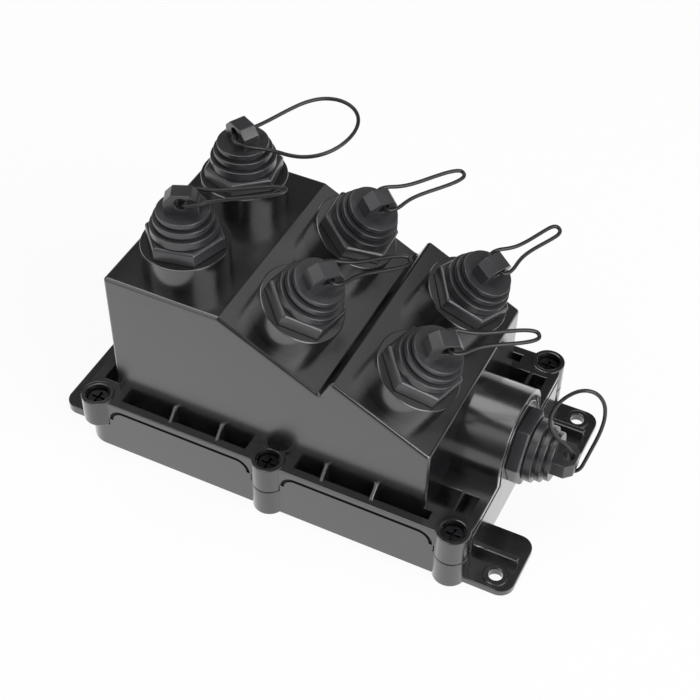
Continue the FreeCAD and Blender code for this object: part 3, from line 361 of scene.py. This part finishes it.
def thread(port):
    """The wound ridge on one port's neck."""
    mesh = bmesh.new()
    ring = [mesh.verts.new((out * MM, 0.0, (THREAD_START + up) * MM)) for out, up in RIDGE]
    edges = [mesh.edges.new((ring[i - 1], ring[i])) for i in range(len(ring))]
    bmesh.ops.spin(
        mesh, geom=ring + edges, cent=(0.0, 0.0, 0.0), axis=(0.0, 0.0, 1.0),
        dvec=(0.0, 0.0, THREAD_PITCH * MM / TURN_STEPS), angle=math.tau * THREAD_TURNS,
        steps=int(TURN_STEPS * THREAD_TURNS),
    )
    bmesh.ops.holes_fill(mesh, edges=[edge for edge in mesh.edges if edge.is_boundary], sides=len(RIDGE))
    bmesh.ops.recalc_face_normals(mesh, faces=mesh.faces)
    place = Matrix.Translation(PORT_MOUNTS[port]["pos_m"]) @ port_turn(port).to_4x4()
    bmesh.ops.transform(mesh, matrix=place, verts=mesh.verts)
    return finished(mesh, f"thread_{port}", f"adapter_{port}")


threads = [thread(port) for port in PORTS]
print(len(threads), "threads")

# %% [markdown]
# ## Cord routes
# Each cap has a loop of thin stiff cord through the hole of its head. A loop is a row of points, each given
# as how far out from the hole, how far along it and how far up, in millimetres. Flat loops are drawn with
# the first two alone and tipped up by some degrees about the hole. The narrow ones have two like strands;
# the wide one by the tall end rises and falls as it goes.

# %% Cord routes


def both_strands(strand):
    """A flat loop from the points of one strand: out along it and back along its mirror."""
    return tuple(strand) + tuple((out, -across) for out, across in reversed(strand))


def lifted(loop, lift):
    """A flat loop tipped up by some degrees about the hole."""
    tip = math.radians(lift)
    return tuple((out * math.cos(tip), across, out * math.sin(tip)) for out, across in loop)


NARROW_LOOP = both_strands((
    (0.6, 2.2), (0.9, 4.0), (2.8, 5.0), (6.2, 4.7), (9.8, 3.5), (14.0, 2.7), (19.6, 2.5), (26.2, 2.6),
    (32.0, 2.5), (35.8, 2.0), (37.9, 1.05),
))
SHORT_LOOP = both_strands((
    (0.6, 2.2), (0.9, 4.0), (2.8, 5.0), (6.2, 4.6), (9.6, 3.2), (13.4, 2.2), (18.4, 1.9), (23.6, 2.0),
    (28.0, 2.1), (31.4, 2.0), (33.4, 1.05),
))
ROUND_LOOP = (
    (1.3, 0.2), (1.0, 5.0), (-2.2, 9.6), (-6.4, 14.0), (-9.4, 20.4), (-9.4, 27.8), (-6.2, 34.8),
    (-0.4, 39.6), (5.6, 38.4), (9.6, 32.6), (10.8, 25.4), (10.4, 18.2), (9.2, 11.6), (7.8, 5.6),
    (6.6, 0.2), (5.4, -4.6), (3.3, -6.3), (1.3, -5.1), (1.2, -2.7),
)
WIDE_LOOP = (
    (0.6, 1.8, 0.0), (0.4, 6.8, -0.3), (-0.3, 13.6, -0.4), (-0.9, 21.6, 0.0), (-0.9, 29.6, 0.4),
    (0.6, 36.6, 0.2), (4.8, 41.8, -0.2), (10.8, 43.8, -0.8), (17.0, 42.2, -1.2), (22.0, 37.8, -1.6),
    (25.2, 31.6, -2.2), (26.2, 24.8, -3.2), (24.8, 18.4, -4.2), (21.4, 13.4, -5.0), (17.4, 9.6, -5.0),
    (13.6, 6.2, -4.0), (10.8, 2.2, -2.6), (8.8, -2.0, -1.4), (6.2, -5.2, -0.6), (3.0, -6.0, -0.2),
    (1.0, -4.4, 0.0), (0.6, -2.2, 0.0),
)
NARROW_LENGTH = 80.4
SHORT_LENGTH = 71.7
ROUND_LENGTH = 102.9
WIDE_LENGTH = 119.5
CORD_ROUTES = {
    "upper_front": (lifted(NARROW_LOOP, 8), NARROW_LENGTH),
    "upper_back": (WIDE_LOOP, WIDE_LENGTH),
    "middle_front": (lifted(NARROW_LOOP, 0), NARROW_LENGTH),
    "middle_back": (lifted(NARROW_LOOP, 12), NARROW_LENGTH),
    "lower_front": (lifted(NARROW_LOOP, 7), NARROW_LENGTH),
    "lower_back": (lifted(SHORT_LOOP, 12), SHORT_LENGTH),
    "inlet": (lifted(ROUND_LOOP, 63), ROUND_LENGTH),
}
print(len(CORD_ROUTES), "cord routes")

# %% [markdown]
# ## Cord loops
# A loop is turned to where its cap was done up, and a smooth curve runs by its points. A curve with a round
# bevel keeps its thickness in every bend, which a row of straight tubes would not.

# %% Cord loops
CORD_DIAMETER = 1.5 * MM
CORD_ROUND_STEPS = 4
CORD_LENGTH_STEPS = 10
CORD_ORDER = 3
HOLE_ABOVE_NECK = 9.8 * MM
# degrees
CAP_TURNS = {
    "upper_front": 24, "upper_back": -28, "middle_front": 55, "middle_back": 59,
    "lower_front": 45, "lower_back": 68, "inlet": 90,
}


def cap_frame(port):
    """The turn of a cap and the middle of its head's hole."""
    turn = port_turn(port) @ Matrix.Rotation(math.radians(CAP_TURNS[port]), 3, "Z")
    return turn, Vector(PORT_MOUNTS[port]["pos_m"]) + Vector(PORT_MOUNTS[port]["axis"]) * HOLE_ABOVE_NECK


def cord_loop(port):
    """One loop of cord as a smooth curve through the head of a cap."""
    route, length = CORD_ROUTES[port]
    turn, hole = cap_frame(port)
    curve = bpy.data.curves.new(f"cord_{port}", "CURVE")
    curve.dimensions = "3D"
    curve.bevel_depth = CORD_DIAMETER / 2
    curve.bevel_resolution = CORD_ROUND_STEPS
    curve.resolution_u = CORD_LENGTH_STEPS
    curve.use_fill_caps = True
    spline = curve.splines.new("NURBS")
    spline.points.add(len(route) - 1)
    for point, step in zip(spline.points, route):
        point.co = (*(hole + turn @ (Vector(step) * MM)), 1.0)
    spline.order_u = CORD_ORDER
    spline.use_endpoint_u = True
    cord = bpy.data.objects.new(f"cord_{port}", curve)
    bpy.context.scene.collection.objects.link(cord)
    curve.materials.append(cord_nylon)
    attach(cord, f"cap_{port}")
    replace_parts(cord, f"tether_{port}")
    return cord


cords = [cord_loop(port) for port in PORTS]
print(len(cords), "cord loops")

# %% [markdown]
# ## Floor
# The picture has a white sweep with almost no shadow. The floor is a pale sheet, and for the eye and for
# mirrors most of it is mixed with a plain white glow. So it is white without more light on the object, and
# the rest of the sheet still takes a soft shadow. Its far edges turn up into a low wall, so that a view
# from low down ends in white as well.

# %% Floor
FLOOR_HALF = 12.0
BACKDROP_RISE = 1.5
GLOW_SHARE = 0.92
floor_mesh = bmesh.new()
bmesh.ops.create_grid(floor_mesh, x_segments=1, y_segments=1, size=FLOOR_HALF)
turned_up = bmesh.ops.extrude_edge_only(floor_mesh, edges=floor_mesh.edges[:])["geom"]
rim = [part for part in turned_up if isinstance(part, bmesh.types.BMVert)]
bmesh.ops.translate(floor_mesh, vec=(0.0, 0.0, BACKDROP_RISE), verts=rim)
floor_data = bpy.data.meshes.new("floor")
floor_mesh.to_mesh(floor_data)
floor_mesh.free()
floor = bpy.data.objects.new("floor", floor_data)
bpy.context.scene.collection.objects.link(floor)
# paper: plain matt white, with a glow that only the eye and mirrors see
paper, tree = new_material("white_sweep")
sheet = add_node(tree, "ShaderNodeBsdfDiffuse", Color=linear("#f4f4f4"))
glow = add_node(tree, "ShaderNodeEmission", Color=linear("#ffffff"), Strength=1.0)
rays = add_node(tree, "ShaderNodeLightPath")
mirrored = add_node(
    tree, "ShaderNodeMath", {"operation": "MAXIMUM"}, Value=rays.outputs["Is Glossy Ray"],
    input_1=rays.outputs["Is Transmission Ray"],
)
seen = add_node(
    tree, "ShaderNodeMath", {"operation": "MAXIMUM"}, Value=rays.outputs["Is Camera Ray"],
    input_1=mirrored.outputs["Value"],
)
share = add_node(
    tree, "ShaderNodeMath", {"operation": "MULTIPLY"}, Value=seen.outputs["Value"], input_1=GLOW_SHARE,
)
mixed = add_node(
    tree, "ShaderNodeMixShader", Fac=share.outputs["Value"], input_1=sheet.outputs["BSDF"],
    input_2=glow.outputs["Emission"],
)
add_node(tree, "ShaderNodeOutputMaterial", Surface=mixed.outputs["Shader"])
floor_data.materials.append(paper)
print("floor", 2 * FLOOR_HALF, "m wide, edges turned up", BACKDROP_RISE, "m")

# %% [markdown]
# ## Light
# Four soft lamps stand round the object: the strongest to the right, weaker ones at the front left and
# overhead, and a dim panel at the back right that is there for the sloping decks to mirror. The world is
# kept dim, so that the flat deck, which mirrors what is above it, goes nearly black.

# %% Lamps and world
LAMP_AIM = Vector((0.0, 0.0, 50.0 * MM))
WORLD_STRENGTH = 0.13


def soft_lamp(name, place, size, watts):
    """A square lamp that looks at the middle of the object."""
    data = bpy.data.lights.new(name, "AREA")
    data.size = size
    data.energy = watts
    lamp = bpy.data.objects.new(name, data)
    lamp.location = place
    aim = LAMP_AIM - Vector(place)
    lamp.rotation_euler = aim.to_track_quat("-Z", "Y").to_euler()
    bpy.context.scene.collection.objects.link(lamp)
    return lamp


lamps = [
    soft_lamp("front_left_lamp", (-0.9, -1.0, 1.1), size=1.5, watts=8.0),
    soft_lamp("overhead_lamp", (-0.45, 0.22, 1.65), size=1.1, watts=10.0),
    soft_lamp("back_right_panel", (0.68, 0.96, 1.66), size=1.1, watts=2.3),
    soft_lamp("right_lamp", (1.35, -0.45, 0.85), size=1.4, watts=28.0),
]
world = bpy.data.worlds.new("studio")
bpy.context.scene.world = world
world.use_nodes = True
world.node_tree.nodes["Background"].inputs["Color"].default_value = linear("#c8c8c8")
world.node_tree.nodes["Background"].inputs["Strength"].default_value = WORLD_STRENGTH
print(len(lamps), "lamps")
